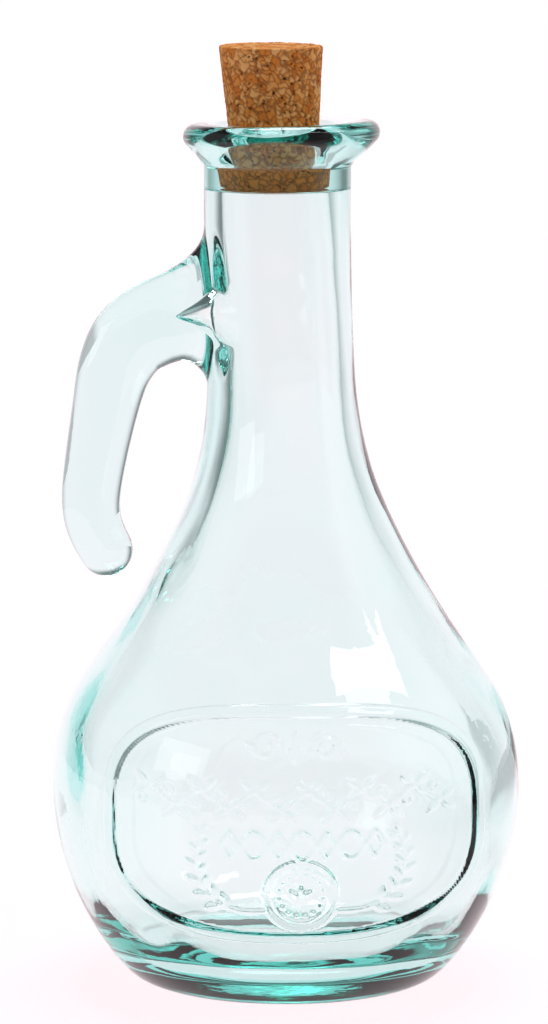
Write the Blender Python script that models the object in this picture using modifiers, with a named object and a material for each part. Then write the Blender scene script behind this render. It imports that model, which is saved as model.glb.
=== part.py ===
"""Oil cruet: a pear-shaped bottle of thick recycled glass with a hook handle, closed by a cork.

Units are metres, +Z is up, and the origin is the middle of the base on the table.
The handle is on the -X side, and the raised frame of the label panel faces -Y.
"""
import math

import bmesh
import bpy
from mathutils import Vector

# Body of the bottle, as radii and heights of its outer outline
BODY_RADIUS = 0.05394
BODY_HEIGHT = 0.0437
FOOT_RADIUS = 0.0350
FOOT_RING_INNER = 0.0270
PUSH_UP = 0.0018
PUSH_UP_EDGE = 0.0216
PUSH_UP_TOP = 0.0162
HEEL_REACH = 0.0031
HEEL_RISE = 0.0238
BELLY_RISE = 0.0200
SHOULDER_RADIUS = 0.0374
SHOULDER_HEIGHT = 0.0825
SHOULDER_SLOPE = 0.64
SHOULDER_REACH_DOWN = 0.0116
SHOULDER_REACH_UP = 0.0325
NECK_RADIUS = 0.01675
NECK_START = 0.1529
NECK_REACH = 0.0249

# Inside of the bottle
WALL_BELLY = 0.0048
WALL_SHOULDER = 0.0046
FLOOR_HEIGHT = 0.0072
FLOOR_RADIUS = 0.0285
FLOOR_REACH = 0.0125
INNER_HEEL_RISE = 0.0200
INNER_BELLY_RISE = 0.0184
INNER_REACH_UP = 0.0365
BORE_RADIUS = 0.0126
BORE_TOP = 0.1680
HOLLOW_BELOW = 0.0020

# Finish: the ledge above the neck, the flare and the rolled lip
LEDGE_BOTTOM = 0.1864
LEDGE_TOP = 0.1876
LEDGE_RADIUS = 0.0177
LIP_RADIUS = 0.0224
LIP_ROLL = 0.0028
LIP_HEIGHT = 0.1935

# The step where the bore narrows to grip the cork, and the funnel of the mouth above it
STEP_RADIUS = 0.0121
STEP_ROUND = 0.0005
THROAT_RADIUS = 0.0080
THROAT_BOTTOM = 0.1810
GRIP_RADIUS = 0.0085
GRIP_TOP = 0.1870
FUNNEL_START = (0.0006, 0.0029)
FUNNEL_BEND = (0.0124, 0.1932)
FUNNEL_END = (0.0149, 0.1957)
FUNNEL_ROUND = 0.0007
MOUTH_EDGE = (0.0165, 0.1961)

# The neck was pulled a little to the left while hot, and the lip sits askew on it
NECK_LEAN = 0.00193
LEAN_START = 0.095
LEAN_END = 0.175
BORE_LEAN_START = 0.122
BORE_TILT = math.radians(1.9)
BORE_TILT_FROM = 0.1680
LIP_SHIFT = 0.0009
LIP_TILT = math.radians(1.4)

# Cork stopper
CORK_BOTTOM = 0.1815
CORK_TOP = 0.2135
CORK_RADIUS_BOTTOM = 0.0077
CORK_SWELL = [(0.1871, 0.0082), (0.1885, 0.0087), (0.1902, 0.0092), (0.1938, 0.0101)]
CORK_RADIUS_TOP = 0.0118
CORK_EDGE = 0.0004
CORK_DIP = math.radians(1.9)
CORK_DIP_FROM = 0.1938

# Hook handle: its centre line in the XZ plane with the half height of its section
HANDLE_PATH = [
    (-0.0080, 0.1534, 0.0160),
    (-0.0160, 0.1534, 0.0160),
    (-0.0183, 0.1534, 0.0141),
    (-0.0205, 0.1532, 0.0118),
    (-0.0240, 0.1525, 0.0103),
    (-0.0290, 0.1510, 0.0097),
    (-0.0358, 0.1477, 0.0096),
    (-0.0396, 0.1402, 0.0083),
    (-0.0412, 0.1318, 0.0075),
    (-0.0430, 0.1228, 0.0071),
    (-0.0445, 0.1140, 0.0068),
    (-0.0450, 0.1075, 0.0066),
    (-0.0435, 0.1020, 0.0063),
    (-0.0413, 0.0983, 0.0061),
]
HANDLE_STEPS = 3
HANDLE_SIDES = 16
HANDLE_CAP = (0.35, 0.65, 0.85, 0.96)
GRIP_DEPTH = 0.88
ARM_DEPTH = 0.72
ROOT_DEPTH = 0.52
GRIP_LEVEL = 0.125
ARM_LEVEL = 0.147
ROOT_START = -0.0270
ROOT_END = -0.0175
CORE_RADIUS = 0.0147
CORE_HEIGHT = 0.060

# Dent that the hollow of the neck leaves in the handle's root
DENT_MOUTH = (-0.0110, 0.1512)
DENT_TIP = (-0.0245, 0.1516)
DENT_RADIUS = 0.0114
DENT_TIP_RADIUS = 0.0007
DENT_FLATNESS = 0.5
DENT_SIDES = 20

# Raised frame of the label panel, drawn in the front view on the round body
FRAME_CENTRE = (0.0018, 0.0440)
FRAME_HALF_WIDTH = 0.0413
FRAME_HALF_HEIGHT = 0.0254
FRAME_ROUNDNESS = 3.0
FRAME_BAND = 0.0014
FRAME_SINK = 0.0005
FRAME_SIDES = 8

TURN_STEPS = 48
CORK_STEPS = 32
FRAME_POINTS = 56
WELD = 0.00001
SMOOTH_BELOW = math.radians(40.0)


def clear_scene():
    for obj in list(bpy.data.objects):
        bpy.data.objects.remove(obj)


def new_collection(name):
    collection = bpy.data.collections.new(name)
    bpy.context.scene.collection.children.link(collection)
    return collection


def new_material(name, colour, roughness, transmission=0.0, ior=1.5):
    material = bpy.data.materials.new(name)
    material.use_nodes = True
    shader = material.node_tree.nodes["Principled BSDF"]
    shader.inputs["Base Color"].default_value = (*colour, 1.0)
    shader.inputs["Roughness"].default_value = roughness
    shader.inputs["Metallic"].default_value = 0.0
    shader.inputs["IOR"].default_value = ior
    shader.inputs["Transmission Weight"].default_value = transmission
    material.diffuse_color = (*colour, 1.0)
    return material


def ease(value, start, end):
    """0 below start, 1 above end, smooth between."""
    t = min(max((value - start) / (end - start), 0.0), 1.0)
    return t * t * (3.0 - 2.0 * t)


def bezier(a, b, c, d, steps):
    """Points along a cubic Bezier piece, without its last point."""
    points = []
    for i in range(steps):
        t = i / steps
        s = 1.0 - t
        weights = (s * s * s, 3.0 * s * s * t, 3.0 * s * t * t, t * t * t)
        points.append(tuple(sum(w * p[k] for w, p in zip(weights, (a, b, c, d))) for k in (0, 1)))
    return points


def arc(centre, radius, start, end, steps):
    """Points along an arc from start to end, in degrees, both ends included."""
    points = []
    for i in range(steps + 1):
        angle = math.radians(start + (end - start) * i / steps)
        points.append((centre[0] + radius * math.cos(angle), centre[1] + radius * math.sin(angle)))
    return points


def outer_wall():
    """Outline of the outside from the foot ring up to the neck, as (radius, height)."""
    slope = SHOULDER_SLOPE
    foot = (FOOT_RADIUS, 0.0)
    belly = (BODY_RADIUS, BODY_HEIGHT)
    shoulder = (SHOULDER_RADIUS, SHOULDER_HEIGHT)
    points = bezier(foot, (FOOT_RADIUS + HEEL_REACH, 0.0),
                    (BODY_RADIUS, BODY_HEIGHT - HEEL_RISE), belly, 9)
    points += bezier(belly, (BODY_RADIUS, BODY_HEIGHT + BELLY_RISE),
                     (SHOULDER_RADIUS + SHOULDER_REACH_DOWN * slope, SHOULDER_HEIGHT - SHOULDER_REACH_DOWN),
                     shoulder, 7)
    points += bezier(shoulder,
                     (SHOULDER_RADIUS - SHOULDER_REACH_UP * slope, SHOULDER_HEIGHT + SHOULDER_REACH_UP),
                     (NECK_RADIUS, NECK_START - NECK_REACH), (NECK_RADIUS, NECK_START), 9)
    return points + [(NECK_RADIUS, NECK_START)]


def inner_wall():
    """Outline of the hollow from the middle of its floor up to the top of the wide bore."""
    slope = SHOULDER_SLOPE
    normal = math.hypot(1.0, slope)
    belly = (BODY_RADIUS - WALL_BELLY, BODY_HEIGHT)
    shoulder = (SHOULDER_RADIUS - WALL_SHOULDER / normal, SHOULDER_HEIGHT - WALL_SHOULDER * slope / normal)
    points = [(0.0, FLOOR_HEIGHT)]
    points += bezier((FLOOR_RADIUS, FLOOR_HEIGHT), (FLOOR_RADIUS + FLOOR_REACH, FLOOR_HEIGHT),
                     (belly[0], BODY_HEIGHT - INNER_HEEL_RISE), belly, 7)
    points += bezier(belly, (belly[0], BODY_HEIGHT + INNER_BELLY_RISE),
                     (shoulder[0] + SHOULDER_REACH_DOWN * slope, shoulder[1] - SHOULDER_REACH_DOWN),
                     shoulder, 6)
    points += bezier(shoulder, (shoulder[0] - INNER_REACH_UP * slope, shoulder[1] + INNER_REACH_UP),
                     (BORE_RADIUS, NECK_START - NECK_REACH), (BORE_RADIUS, NECK_START), 7)
    return points + [(BORE_RADIUS, NECK_START)]


def finish():
    """Outline from the top of the wide bore, through the mouth and over the lip, down to the neck."""
    points = [(BORE_RADIUS, BORE_TOP)]
    points += arc((STEP_RADIUS - STEP_ROUND, THROAT_BOTTOM - STEP_ROUND), STEP_ROUND, 0.0, 90.0, 2)
    points += [(THROAT_RADIUS, THROAT_BOTTOM)]
    points += bezier((GRIP_RADIUS, GRIP_TOP), (GRIP_RADIUS + FUNNEL_START[0], GRIP_TOP + FUNNEL_START[1]),
                     FUNNEL_BEND, FUNNEL_END, 6)
    points += bezier(FUNNEL_END, (FUNNEL_END[0] + FUNNEL_ROUND, MOUTH_EDGE[1]),
                     (MOUTH_EDGE[0] - FUNNEL_ROUND, MOUTH_EDGE[1]), MOUTH_EDGE, 2)
    points += [MOUTH_EDGE]
    points += arc((LIP_RADIUS - LIP_ROLL, LIP_HEIGHT), LIP_ROLL, 90.0, -45.0, 7)
    points += [(LEDGE_RADIUS, LEDGE_TOP), (NECK_RADIUS, LEDGE_BOTTOM)]
    return points


def base():
    """Outline of the underside from the foot ring to the middle of the push-up."""
    ring = (FOOT_RING_INNER, 0.0)
    points = bezier(ring, (PUSH_UP_EDGE, 0.0), (PUSH_UP_TOP, PUSH_UP), (0.0, PUSH_UP), 3)
    return points + [(0.0, PUSH_UP)]


def body_radius_at(height):
    """Outer radius of the body at a height."""
    outline = outer_wall()
    for (r0, z0), (r1, z1) in zip(outline, outline[1:]):
        if z0 <= height <= z1:
            return r0 + (r1 - r0) * (height - z0) / max(z1 - z0, 1e-9)
    return outline[-1][0]


def neck_lean(height):
    return -NECK_LEAN * ease(height, LEAN_START, LEAN_END)


def bore_axis(height):
    """Sideways place of the hollow's axis, which stays upright longer and leans with the cork at its top."""
    neck = -NECK_LEAN * ease(height, BORE_LEAN_START, LEAN_END)
    return neck - math.tan(BORE_TILT) * max(height - BORE_TILT_FROM, 0.0)


def lean(mesh):
    """Moves the points of the turned bottle sideways, as the hot neck sagged."""
    for vertex in mesh.vertices:
        radius = math.hypot(vertex.co.x, vertex.co.y)
        height = vertex.co.z
        if height > GRIP_TOP:
            outside = ease(radius, BORE_RADIUS, LIP_RADIUS - LIP_ROLL)
        elif radius < body_radius_at(height) - HOLLOW_BELOW:
            outside = 0.0
        else:
            outside = 1.0
        lip = ease(height, LEDGE_BOTTOM, LIP_HEIGHT - LIP_ROLL)
        outer = neck_lean(height) + LIP_SHIFT * lip
        vertex.co.z += vertex.co.x * math.tan(LIP_TILT) * lip * outside
        vertex.co.x += outer * outside + bore_axis(height) * (1.0 - outside)


def turned(name, points, steps, collection):
    """An object whose outline is turned round the Z axis."""
    mesh = bpy.data.meshes.new(name)
    mesh.from_pydata([(r, 0.0, z) for r, z in points], [(i, i + 1) for i in range(len(points) - 1)], [])
    obj = bpy.data.objects.new(name, mesh)
    collection.objects.link(obj)
    screw = obj.modifiers.new("Turn", "SCREW")
    screw.axis = "Z"
    screw.steps = steps
    screw.render_steps = steps
    screw.use_merge_vertices = True
    screw.merge_threshold = WELD
    screw.use_smooth_shade = True
    return obj


def made_mesh(obj, name, collection):
    """Replaces an object by a plain mesh of what its curve or modifiers make."""
    bpy.context.view_layer.update()
    evaluated = obj.evaluated_get(bpy.context.evaluated_depsgraph_get())
    mesh = bpy.data.meshes.new_from_object(evaluated)
    bm = bmesh.new()
    bm.from_mesh(mesh)
    bmesh.ops.remove_doubles(bm, verts=bm.verts, dist=WELD)
    bm.to_mesh(mesh)
    bm.free()
    made = bpy.data.objects.new(name, mesh)
    made.matrix_world = obj.matrix_world
    collection.objects.link(made)
    bpy.data.objects.remove(obj)
    return made


def boolean(obj, other, operation):
    modifier = obj.modifiers.new(operation.title(), "BOOLEAN")
    modifier.operation = operation
    modifier.solver = "EXACT"
    modifier.object = other
    other.hide_render = True
    other.display_type = "WIRE"


def catmull_rom(path, steps):
    """Smooth points through a path, with steps pieces between two of its points."""
    points = []
    for i in range(len(path) - 1):
        p0 = Vector(path[max(i - 1, 0)])
        p1 = Vector(path[i])
        p2 = Vector(path[i + 1])
        p3 = Vector(path[min(i + 2, len(path) - 1)])
        for k in range(steps):
            t = k / steps
            points.append(0.5 * (2.0 * p1 + (p2 - p0) * t + (2.0 * p0 - 5.0 * p1 + 4.0 * p2 - p3) * t * t
                                 + (3.0 * p1 - p0 - 3.0 * p2 + p3) * t * t * t))
    return points + [Vector(path[-1])]


def tube(name, points, radii, cyclic, sides, collection):
    """A round tube along points, whose radius may change, with filled ends."""
    curve = bpy.data.curves.new(name, "CURVE")
    curve.dimensions = "3D"
    curve.bevel_depth = 1.0
    curve.bevel_resolution = sides // 2 - 2
    curve.use_fill_caps = True
    spline = curve.splines.new("POLY")
    spline.points.add(len(points) - 1)
    for target, point, radius in zip(spline.points, points, radii):
        target.co = (*point, 1.0)
        target.radius = radius
    spline.use_cyclic_u = cyclic
    obj = bpy.data.objects.new(name, curve)
    collection.objects.link(obj)
    return obj


def make_handle(cutters):
    """The solid hook, cut hollow at its root so that it ends inside the neck's wall."""
    path = catmull_rom(HANDLE_PATH, HANDLE_STEPS)
    end = path[-1]
    way = (end - path[-2]).xy.normalized()
    points = [(p.x, 0.0, p.y) for p in path]
    radii = [p.z for p in path]
    for share in HANDLE_CAP:
        points.append((end.x + way.x * end.z * share, 0.0, end.y + way.y * end.z * share))
        radii.append(end.z * math.sqrt(1.0 - share * share))
    curve = tube("handle_curve", points, radii, False, HANDLE_SIDES, cutters)
    handle = made_mesh(curve, "handle", cutters)
    for vertex in handle.data.vertices:
        arm = ease(vertex.co.z, GRIP_LEVEL, ARM_LEVEL)
        root = ease(vertex.co.x, ROOT_START, ROOT_END) * arm
        depth = GRIP_DEPTH + (ARM_DEPTH - GRIP_DEPTH) * arm
        vertex.co.y *= depth + (ROOT_DEPTH - depth) * root
    core_height = HANDLE_PATH[0][1]
    bpy.ops.mesh.primitive_cylinder_add(vertices=TURN_STEPS, radius=CORE_RADIUS, depth=CORE_HEIGHT,
                                        location=(neck_lean(core_height), 0.0, core_height))
    core = bpy.context.object
    core.name = "neck_core"
    move_to(core, cutters)
    boolean(handle, core, "DIFFERENCE")
    return handle


def make_dent(cutters):
    """The pointed dent, a flattened cone that lies along -X."""
    length = DENT_MOUTH[0] - DENT_TIP[0]
    bpy.ops.mesh.primitive_cone_add(vertices=DENT_SIDES, radius1=DENT_RADIUS,
                                    radius2=DENT_TIP_RADIUS, depth=length)
    dent = bpy.context.object
    dent.name = "dent"
    drop = (DENT_TIP[1] - DENT_MOUTH[1]) / length
    for vertex in dent.data.vertices:
        across, side, along = vertex.co
        distance = along + length / 2.0
        vertex.co = (DENT_MOUTH[0] - distance, side * DENT_FLATNESS,
                     DENT_MOUTH[1] + across + drop * distance)
    move_to(dent, cutters)
    return dent


def move_to(obj, collection):
    for old in list(obj.users_collection):
        old.objects.unlink(obj)
    collection.objects.link(obj)


def frame_outline(count):
    """Points round the frame's centre line, in the front view: a superellipse, evenly spaced in angle."""
    points = []
    for i in range(count):
        angle = 2.0 * math.pi * i / count
        c = math.cos(angle)
        s = math.sin(angle)
        power = 2.0 / FRAME_ROUNDNESS
        x = FRAME_CENTRE[0] + FRAME_HALF_WIDTH * math.copysign(abs(c) ** power, c)
        z = FRAME_CENTRE[1] + FRAME_HALF_HEIGHT * math.copysign(abs(s) ** power, s)
        points.append((x, z))
    return points


def make_frame(cutters):
    """The raised band, a closed tube half sunk in the round front of the body."""
    points = []
    for x, z in frame_outline(FRAME_POINTS):
        radius = body_radius_at(z) - FRAME_SINK
        points.append((x, -math.sqrt(radius * radius - x * x), z))
    curve = tube("frame_curve", points, [FRAME_BAND] * len(points), True, FRAME_SIDES, cutters)
    return made_mesh(curve, "label_frame", cutters)


def make_bottle(collection, cutters):
    outline = inner_wall() + finish() + outer_wall()[::-1] + base()
    shell = turned("bottle_turned", outline, TURN_STEPS, cutters)
    bottle = made_mesh(shell, "bottle", collection)
    lean(bottle.data)
    boolean(bottle, make_handle(cutters), "UNION")
    boolean(bottle, make_frame(cutters), "UNION")
    boolean(bottle, make_dent(cutters), "DIFFERENCE")
    bottle.data.shade_smooth()
    bottle.data.set_sharp_from_angle(angle=SMOOTH_BELOW)
    bottle.data.materials.append(new_material("glass", (0.80, 0.92, 0.90), 0.03, transmission=1.0))
    return bottle


def make_cork(collection):
    """The tapered plug, narrower where the bore grips it; it leans with the bore and its cut top dips."""
    outline = [(0.0, CORK_TOP), (CORK_RADIUS_TOP - CORK_EDGE, CORK_TOP), (CORK_RADIUS_TOP, CORK_TOP - CORK_EDGE)]
    outline += [(radius, height) for height, radius in reversed(CORK_SWELL)]
    outline += [(CORK_RADIUS_BOTTOM, CORK_BOTTOM + CORK_EDGE), (CORK_RADIUS_BOTTOM - CORK_EDGE, CORK_BOTTOM),
                (0.0, CORK_BOTTOM)]
    shape = turned("cork_turned", outline, CORK_STEPS, collection)
    cork = made_mesh(shape, "cork", collection)
    for vertex in cork.data.vertices:
        height = vertex.co.z
        vertex.co.z += vertex.co.y * math.tan(CORK_DIP) * ease(height, CORK_DIP_FROM, CORK_TOP)
        vertex.co.x += bore_axis(height)
    cork.data.shade_smooth()
    cork.data.set_sharp_from_angle(angle=SMOOTH_BELOW)
    cork.data.materials.append(new_material("cork", (0.55, 0.28, 0.11), 0.85))
    return cork


def main():
    clear_scene()
    collection = new_collection("oil_cruet")
    cutters = new_collection("cutters")
    make_bottle(collection, cutters)
    make_cork(collection)


main()
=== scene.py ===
import math
import random
import bpy
import numpy as np
from mathutils import Matrix, Vector


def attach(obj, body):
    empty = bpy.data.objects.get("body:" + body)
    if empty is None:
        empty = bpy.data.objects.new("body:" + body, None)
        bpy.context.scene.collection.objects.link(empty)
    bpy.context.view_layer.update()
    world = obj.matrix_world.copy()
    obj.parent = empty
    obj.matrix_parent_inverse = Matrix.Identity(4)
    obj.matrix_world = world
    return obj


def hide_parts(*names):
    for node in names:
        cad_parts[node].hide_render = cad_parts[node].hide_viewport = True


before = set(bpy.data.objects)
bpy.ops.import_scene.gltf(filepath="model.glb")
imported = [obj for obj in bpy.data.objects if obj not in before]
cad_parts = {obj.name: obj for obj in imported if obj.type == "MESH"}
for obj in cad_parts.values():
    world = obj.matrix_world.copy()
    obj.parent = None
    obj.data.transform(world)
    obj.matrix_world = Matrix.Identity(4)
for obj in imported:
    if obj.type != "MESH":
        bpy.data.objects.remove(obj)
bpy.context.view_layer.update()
mm = 0.001

# Camera, at the place from which the photograph was taken
cameraSet = {
    "sideways": -2.73 * mm,
    "away": 963.6 * mm,
    "height": 249.3 * mm,
    "lookDown": 8.406,      # degrees
    "sensor": 36.0,
    "framePixels": 1024,    # the longer side of the picture
    "focalPixels": 4241.8,
}


def makeCamera(c):
    data = bpy.data.cameras.new("camera")
    data.sensor_width = c["sensor"]
    data.lens = c["sensor"] * c["focalPixels"] / c["framePixels"]
    data.clip_end = 100.0
    camera = bpy.data.objects.new("camera", data)
    camera.location = (c["sideways"], -c["away"], c["height"])
    camera.rotation_euler = (math.radians(90.0 - c["lookDown"]), 0.0, 0.0)
    bpy.context.collection.objects.link(camera)
    bpy.context.scene.camera = camera
    return camera


makeCamera(cameraSet)
print("camera placed")


# Shader maths: an expression on Wires adds the nodes that work it out
class Wire:
    def __init__(self, tree, socket=None):
        self.tree = tree
        self.socket = socket

    def node(self, kind, settings=None, sockets=None, output=0):
        made = self.tree.nodes.new(kind)
        for name, value in (settings or {}).items():
            if name == "stops":
                while len(made.color_ramp.elements) < len(value):
                    made.color_ramp.elements.new(0.5)
                for element, (place, colour) in zip(made.color_ramp.elements, value):
                    element.position = place
                    element.color = colour
            else:
                setattr(made, name, value)
        for name, value in (sockets or {}).items():
            if isinstance(value, Wire):
                self.tree.links.new(value.socket, made.inputs[name])
            else:
                made.inputs[name].default_value = value
        return Wire(self.tree, made.outputs[output] if len(made.outputs) else None)

    def math(self, operation, first, second=0.0):
        return self.node("ShaderNodeMath", {"operation": operation}, {0: first, 1: second})

    def __add__(self, other):
        return self.math("ADD", self, other)

    def __radd__(self, other):
        return self.math("ADD", other, self)

    def __sub__(self, other):
        return self.math("SUBTRACT", self, other)

    def __rsub__(self, other):
        return self.math("SUBTRACT", other, self)

    def __mul__(self, other):
        return self.math("MULTIPLY", self, other)

    def __rmul__(self, other):
        return self.math("MULTIPLY", other, self)

    def __pow__(self, other):
        return self.math("POWER", self, other)

    def limited(self, low, high, toLow=0.0, toHigh=1.0):
        return self.node("ShaderNodeMapRange", {"interpolation_type": "SMOOTHSTEP"}, {
            "Value": self, "From Min": low, "From Max": high, "To Min": toLow, "To Max": toHigh})

    def mixed(self, first, second):
        return self.node("ShaderNodeMix", {"data_type": "RGBA"}, {0: self, 6: first, 7: second}, 2)


def newMaterial(name):
    material = bpy.data.materials.new(name)
    material.use_nodes = True
    material.node_tree.nodes.clear()
    return material, Wire(material.node_tree)


# Outlines and spacing
def ease(value, start, end):
    t = np.clip((np.asarray(value, float) - start) / (end - start), 0.0, 1.0)
    return t * t * (3.0 - 2.0 * t)


def bezier(a, b, c, d, steps=80):
    t = np.linspace(0.0, 1.0, steps)[:, None]
    a, b, c, d = (np.array(p, float) for p in (a, b, c, d))
    return (1 - t) ** 3 * a + 3 * (1 - t) ** 2 * t * b + 3 * (1 - t) * t * t * c + t ** 3 * d


def arc(centre, radius, start, end, steps=40):
    angle = np.radians(np.linspace(start, end, steps))
    return np.stack([centre[0] + radius * np.cos(angle), centre[1] + radius * np.sin(angle)], 1)


def walked(points):
    gaps = np.linalg.norm(np.diff(points, axis=0), axis=1)
    return np.concatenate([[0.0], np.cumsum(gaps)])


def joined(pieces):
    line = np.vstack(pieces)
    tooNear = 1e-7
    keep = np.concatenate([[True], np.linalg.norm(np.diff(line, axis=0), axis=1) > tooNear])
    return line[keep]


def spaced(line, stepAt):
    # Points along a line, whose spacing follows stepAt(radius, height)
    way = walked(line)
    marks = [0.0]
    while marks[-1] < way[-1]:
        here = [np.interp(marks[-1], way, line[:, k]) for k in (0, 1)]
        marks.append(marks[-1] + stepAt(*here))
    marks = np.array(marks) * way[-1] / marks[-1]
    return np.stack([np.interp(marks, way, line[:, k]) for k in (0, 1)], 1)


def smoothed(values, width, rounds=3):
    kernel = np.ones(width) / width
    for _ in range(rounds):
        padded = np.pad(values, (width // 2, width // 2), mode="reflect", reflect_type="odd")
        values = np.convolve(padded, kernel, mode="valid")[:len(values)]
    return values


# The bottle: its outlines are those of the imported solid
bottle = {
    "bodyRadius": 53.94 * mm, "bodyHeight": 43.7 * mm,
    "footRadius": 35.0 * mm, "footInner": 27.0 * mm,
    "pushUp": 1.8 * mm, "pushUpEdge": 21.6 * mm, "pushUpTop": 16.2 * mm,
    "heelReach": 3.1 * mm, "heelRise": 23.8 * mm, "bellyRise": 20.0 * mm,
    "shoulderRadius": 37.4 * mm, "shoulderHeight": 82.5 * mm, "shoulderSlope": 0.64,
    "reachDown": 11.6 * mm, "reachUp": 32.5 * mm,
    "neckRadius": 16.75 * mm, "neckStart": 152.9 * mm, "neckReach": 24.9 * mm,
    "wallBelly": 4.8 * mm, "wallShoulder": 4.6 * mm,
    "floorHeight": 7.2 * mm, "floorRadius": 28.5 * mm, "floorReach": 12.5 * mm,
    "innerHeelRise": 20.0 * mm, "innerBellyRise": 18.4 * mm, "innerReachUp": 36.5 * mm,
    "boreRadius": 12.6 * mm, "boreTop": 168.0 * mm,
    "stepRadius": 12.1 * mm, "stepBottom": 180.9 * mm,
    "stepRise": 0.45 * mm, "stepReach": 1.6 * mm,
    "throatRadius": 8.0 * mm, "throatBottom": 181.4 * mm,
    "gripRadius": 8.5 * mm, "gripTop": 187.0 * mm,
    "funnelStart": (0.6 * mm, 2.9 * mm), "funnelBend": (12.4 * mm, 193.2 * mm),
    "funnelEnd": (14.9 * mm, 195.7 * mm), "funnelRound": 0.7 * mm, "mouthEdge": (16.5 * mm, 196.1 * mm),
    "ledgeBottom": 186.4 * mm, "ledgeTop": 187.6 * mm, "ledgeRadius": 17.7 * mm,
    "lipRadius": 22.4 * mm, "lipRoll": 2.8 * mm, "lipHeight": 193.5 * mm,
    "neckLean": 1.93 * mm, "leanStart": 95.0 * mm, "leanEnd": 175.0 * mm, "boreLeanStart": 122.0 * mm,
    "boreTilt": 1.9, "boreTiltFrom": 168.0 * mm,    # degrees
    "lipShift": 0.9 * mm, "lipTilt": 1.4,            # degrees
    "columns": 128,
    # Space between rows of points above each height, then near the middle and for the rest
    "innerRows": [(190.0 * mm, 0.45 * mm), (181.6 * mm, 0.8 * mm), (180.2 * mm, 0.22 * mm),
                  (173.0 * mm, 0.8 * mm), (139.0 * mm, 0.62 * mm), (60.0 * mm, 1.7 * mm)],
    "innerMiddle": (28.0 * mm, 3.5 * mm), "innerHeel": 1.6 * mm,
    "outerRows": [(186.0 * mm, 0.42 * mm), (130.0 * mm, 1.25 * mm), (73.5 * mm, 1.8 * mm)],
    "outerMiddle": (27.0 * mm, 3.0 * mm), "outerHeel": 1.1 * mm,
    "neckRows": (112.0 * mm, 186.2 * mm), "neckWallFrom": 100.0 * mm,
}


def innerOutline(b):
    slope = b["shoulderSlope"]
    normal = math.hypot(1.0, slope)
    belly = (b["bodyRadius"] - b["wallBelly"], b["bodyHeight"])
    shoulder = (b["shoulderRadius"] - b["wallShoulder"] / normal,
                b["shoulderHeight"] - b["wallShoulder"] * slope / normal)
    floorEdge = (b["floorRadius"], b["floorHeight"])
    throat = (b["throatRadius"], b["throatBottom"])
    step = (b["stepRadius"], b["stepBottom"])
    grip = (b["gripRadius"], b["gripTop"])
    end = b["funnelEnd"]
    edge = b["mouthEdge"]
    lip = (b["lipRadius"] - b["lipRoll"], b["lipHeight"])
    return joined([
        [(0.0, b["floorHeight"])],
        bezier(floorEdge, (floorEdge[0] + b["floorReach"], b["floorHeight"]),
               (belly[0], belly[1] - b["innerHeelRise"]), belly),
        bezier(belly, (belly[0], belly[1] + b["innerBellyRise"]),
               (shoulder[0] + b["reachDown"] * slope, shoulder[1] - b["reachDown"]), shoulder),
        bezier(shoulder, (shoulder[0] - b["innerReachUp"] * slope, shoulder[1] + b["innerReachUp"]),
               (b["boreRadius"], b["neckStart"] - b["neckReach"]), (b["boreRadius"], b["neckStart"])),
        [(b["boreRadius"], b["boreTop"])],
        bezier(step, (step[0], step[1] + b["stepRise"]),
               (step[0] - b["stepReach"], throat[1]), (throat[0] + b["stepRise"], throat[1]), 24),
        [throat],
        bezier(grip, (grip[0] + b["funnelStart"][0], grip[1] + b["funnelStart"][1]), b["funnelBend"], end),
        bezier(end, (end[0] + b["funnelRound"], edge[1]), (edge[0] - b["funnelRound"], edge[1]), edge, 12),
        [(lip[0], lip[1] + b["lipRoll"])],
    ])


def outerOutline(b):
    # From the top of the lip down to the neck, the foot ring and the middle of the base
    slope = b["shoulderSlope"]
    belly = (b["bodyRadius"], b["bodyHeight"])
    shoulder = (b["shoulderRadius"], b["shoulderHeight"])
    neck = (b["neckRadius"], b["neckStart"])
    foot = (b["footRadius"], 0.0)
    ring = (b["footInner"], 0.0)
    return joined([
        arc((b["lipRadius"] - b["lipRoll"], b["lipHeight"]), b["lipRoll"], 90.0, -45.0),
        [(b["ledgeRadius"], b["ledgeTop"]), (b["neckRadius"], b["ledgeBottom"])],
        bezier(neck, (neck[0], neck[1] - b["neckReach"]),
               (shoulder[0] - b["reachUp"] * slope, shoulder[1] + b["reachUp"]), shoulder),
        bezier(shoulder, (shoulder[0] + b["reachDown"] * slope, shoulder[1] - b["reachDown"]),
               (belly[0], belly[1] + b["bellyRise"]), belly),
        bezier(belly, (belly[0], belly[1] - b["heelRise"]), (foot[0] + b["heelReach"], 0.0), foot),
        bezier(ring, (b["pushUpEdge"], 0.0), (b["pushUpTop"], b["pushUp"]), (0.0, b["pushUp"])),
    ])


def boreAxis(z, b):
    neck = -b["neckLean"] * ease(z, b["boreLeanStart"], b["leanEnd"])
    return neck - math.tan(math.radians(b["boreTilt"])) * np.maximum(z - b["boreTiltFrom"], 0.0)


def leaned(points, b, hollow=False):
    # The hot neck sagged to one side, the bore follows the cork and the lip sits askew
    x, y, z = points.T
    radius = np.hypot(x, y)
    neck = -b["neckLean"] * ease(z, b["leanStart"], b["leanEnd"])
    bore = boreAxis(z, b)
    outside = ease(radius, b["boreRadius"], b["lipRadius"] - b["lipRoll"])
    outside = np.where(z > b["gripTop"], outside, 0.0 if hollow else 1.0)
    lip = ease(z, b["ledgeBottom"], b["lipHeight"] - b["lipRoll"])
    tilt = x * math.tan(math.radians(b["lipTilt"])) * lip * outside
    shift = (neck + b["lipShift"] * lip) * outside + bore * (1.0 - outside)
    return np.stack([x + shift, y, z + tilt], 1)


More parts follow.
